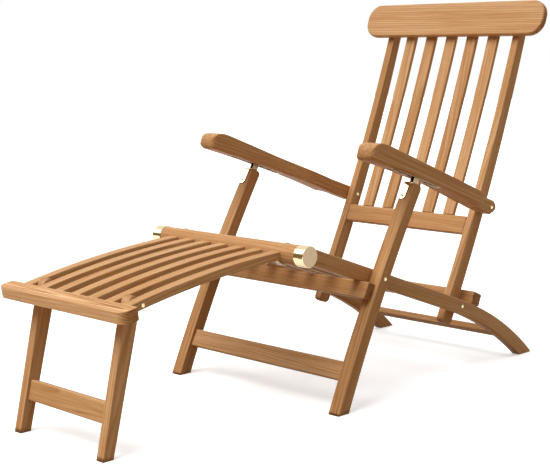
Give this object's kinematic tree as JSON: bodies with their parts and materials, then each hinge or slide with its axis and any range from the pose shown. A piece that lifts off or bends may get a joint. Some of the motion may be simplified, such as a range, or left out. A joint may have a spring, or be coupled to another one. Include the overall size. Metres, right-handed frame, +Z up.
{
  "type": "steamer deck chair",
  "caption": "Folding slatted teak deck chair with a reclining curved back, arms that latch on brass leg hooks, and a slatted leg rest on folding legs.",
  "frame": {"origin": "on the floor, under the middle of the bounding box", "axes": "+Z up, -Y the way the sitter faces, +X to the sitter's left"},
  "size_m": [0.61, 1.4348, 0.962],
  "materials": {
    "teak": "oiled, fine grain",
    "brass": "polished"
  },
  "bodies": {
    "seat_frame": {"rail_left": "teak", "rail_right": "teak", "round_bar": "teak", "bar_cap_left": "brass", "bar_cap_right": "brass", "seat_slat_1": "teak", "seat_slat_2": "teak", "seat_slat_3": "teak", "seat_slat_4": "teak", "seat_slat_5": "teak", "seat_slat_6": "teak", "seat_rail_front": "teak", "seat_rail_rear": "teak", "rear_crossbar": "teak", "rear_stretcher": "teak"},
    "leg_frame": {"front_leg_left": "teak", "front_leg_right": "teak", "leg_hook_left": "brass", "leg_hook_right": "brass", "leg_bolt_left": "brass", "leg_bolt_right": "brass", "seat_support_board": "teak", "front_stretcher": "teak"},
    "back_pivot": {"back_bolt_left": "brass", "back_bolt_right": "brass"},
    "back": {"back_stile_left": "teak", "back_stile_right": "teak", "back_slat_1": "teak", "back_slat_2": "teak", "back_slat_3": "teak", "back_slat_4": "teak", "back_slat_5": "teak", "back_mid_rail": "teak", "headrest": "teak"},
    "arm_pivot_left": {"arm_bolt_left": "brass"},
    "arm_left": {"arm_left": "teak", "arm_track_left": "brass"},
    "arm_pivot_right": {"arm_bolt_right": "brass"},
    "arm_right": {"arm_right": "teak", "arm_track_right": "brass"},
    "leg_rest": {"rest_slat_1": "teak", "rest_slat_2": "teak", "rest_slat_3": "teak", "rest_slat_4": "teak", "rest_slat_5": "teak", "rest_slat_6": "teak", "rest_slat_7": "teak", "rest_front_board": "teak", "rest_batten_rear": "teak", "rest_batten_front": "teak", "rest_hook_left": "brass", "rest_hook_right": "brass"},
    "leg_rest_legs": {"rest_leg_left": "teak", "rest_leg_right": "teak", "rest_bolt_left": "brass", "rest_bolt_right": "brass", "rest_stretcher": "teak"}
  },
  "joints": [
    {"name": "back_fold", "type": "hinge", "parent": "seat_frame", "child": "back_pivot", "pos_m": [0, 0.3781, 0.176], "axis": [1, 0, 0], "range_deg": [0, 80]},
    {"name": "back_recline", "type": "hinge", "parent": "back_pivot", "child": "back", "pos_m": [0, 0.3781, 0.176], "axis": [-1, 0, 0], "range_deg": [0, 13]},
    {"name": "legs_fold", "type": "hinge", "parent": "seat_frame", "child": "leg_frame", "pos_m": [0, 0.0271, 0.3], "axis": [1, 0, 0], "range_deg": [0, 84]},
    {"name": "arm_left_fold", "type": "hinge", "parent": "back", "child": "arm_pivot_left", "pos_m": [0, 0.49963, 0.42303], "axis": [1, 0, 0], "range_deg": [-83.2, 0]},
    {"name": "arm_left_recline", "type": "hinge", "parent": "arm_pivot_left", "child": "arm_left", "pos_m": [0, 0.49963, 0.42303], "axis": [1, 0, 0], "range_deg": [0, 10.4]},
    {"name": "arm_right_fold", "type": "hinge", "parent": "back", "child": "arm_pivot_right", "pos_m": [0, 0.49963, 0.42303], "axis": [1, 0, 0], "range_deg": [-83.2, 0]},
    {"name": "arm_right_recline", "type": "hinge", "parent": "arm_pivot_right", "child": "arm_right", "pos_m": [0, 0.49963, 0.42303], "axis": [1, 0, 0], "range_deg": [0, 10.4]},
    {"name": "leg_rest_swing", "type": "hinge", "parent": "seat_frame", "child": "leg_rest", "pos_m": [0, -0.1959, 0.377], "axis": [-1, 0, 0], "range_deg": [0, 55]},
    {"name": "leg_rest_legs_fold", "type": "hinge", "parent": "leg_rest", "child": "leg_rest_legs", "pos_m": [0, -0.6239, 0.322], "axis": [1, 0, 0], "range_deg": [0, 100]}
  ],
  "couplings": [
    {"joint": "legs_fold", "follows": "back_fold", "ratio": 1.05},
    {"joint": "arm_left_fold", "follows": "back_fold", "ratio": -1.04},
    {"joint": "arm_left_recline", "follows": "back_recline", "ratio": 0.8},
    {"joint": "arm_right_fold", "follows": "back_fold", "ratio": -1.04},
    {"joint": "arm_right_recline", "follows": "back_recline", "ratio": 0.8}
  ]
}
